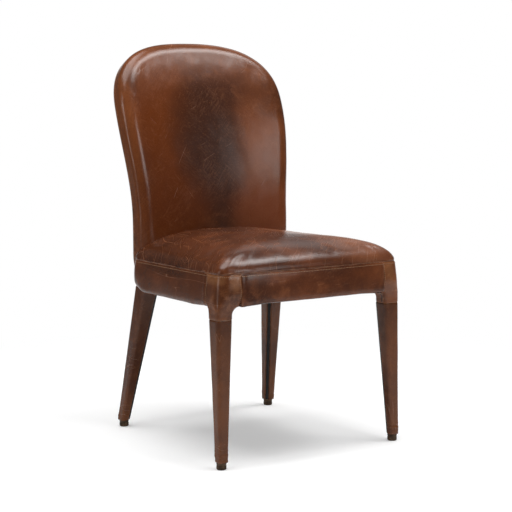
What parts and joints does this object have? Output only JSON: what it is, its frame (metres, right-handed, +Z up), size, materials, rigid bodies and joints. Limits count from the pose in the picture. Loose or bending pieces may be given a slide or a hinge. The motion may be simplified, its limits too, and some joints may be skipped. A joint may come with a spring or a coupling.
{
  "type": "parsons chair",
  "caption": "Fully upholstered brown leather dining chair with a rounded, rearward-raked back, a domed seat over a plain skirt, and tapered leather-clad legs on metal glides.",
  "frame": {"origin": "on the floor under the middle of the bounding box", "axes": "+Z up, the chair faces -Y, +X is the right side as seen from in front"},
  "size_m": [0.536, 0.623, 0.994],
  "materials": {
    "seat_leather": "waxed pull-up leather with fine scratches",
    "back_leather": "waxed pull-up leather, darker in the middle",
    "leg_leather": "waxed leather",
    "closure": "black tape",
    "wood": "plain sanded hardwood",
    "board": "bent plywood and fibreboard",
    "foam": "upholstery foam",
    "webbing": "woven seat webbing",
    "dust_cloth": "black non-woven cloth",
    "bronze": "dark bronze",
    "steel": "zinc-plated"
  },
  "bodies": {
    "root": {"back_foam": "foam", "back_liner_board": "board", "bent_back_panel": "board", "crest_rail": "wood", "crosswise_strap_1": "webbing", "crosswise_strap_2": "webbing", "crosswise_strap_3": "webbing", "crosswise_strap_4": "webbing", "dust_cover": "dust_cloth", "front_left_closure_strip": "closure", "front_left_corner_block": "wood", "front_left_corner_patch": "seat_leather", "front_left_glide": "bronze", "front_left_leg": "wood", "front_left_leg_bolt": "steel", "front_left_leg_cover": "leg_leather", "front_right_closure_strip": "closure", "front_right_corner_block": "wood", "front_right_corner_patch": "seat_leather", "front_right_glide": "bronze", "front_right_leg": "wood", "front_right_leg_bolt": "steel", "front_right_leg_cover": "leg_leather", "front_seat_rail": "wood", "front_skirt": "seat_leather", "front_skirt_pad": "foam", "inside_back_cover": "back_leather", "left_seat_rail": "wood", "left_skirt": "seat_leather", "left_skirt_pad": "foam", "lengthwise_strap_1": "webbing", "lengthwise_strap_2": "webbing", "lengthwise_strap_3": "webbing", "lengthwise_strap_4": "webbing", "lower_back_rail": "wood", "middle_back_rail": "wood", "outside_back_cover": "back_leather", "rear_left_closure_strip": "closure", "rear_left_corner_block": "wood", "rear_left_glide": "bronze", "rear_left_leg_bolt": "steel", "rear_left_leg_cover": "leg_leather", "rear_left_post": "wood", "rear_right_closure_strip": "closure", "rear_right_corner_block": "wood", "rear_right_glide": "bronze", "rear_right_leg_bolt": "steel", "rear_right_leg_cover": "leg_leather", "rear_right_post": "wood", "rear_seat_rail": "wood", "right_seat_rail": "wood", "right_skirt": "seat_leather", "right_skirt_pad": "foam", "seat_foam": "foam", "seat_top_panel": "seat_leather"}
  },
  "joints": []
}
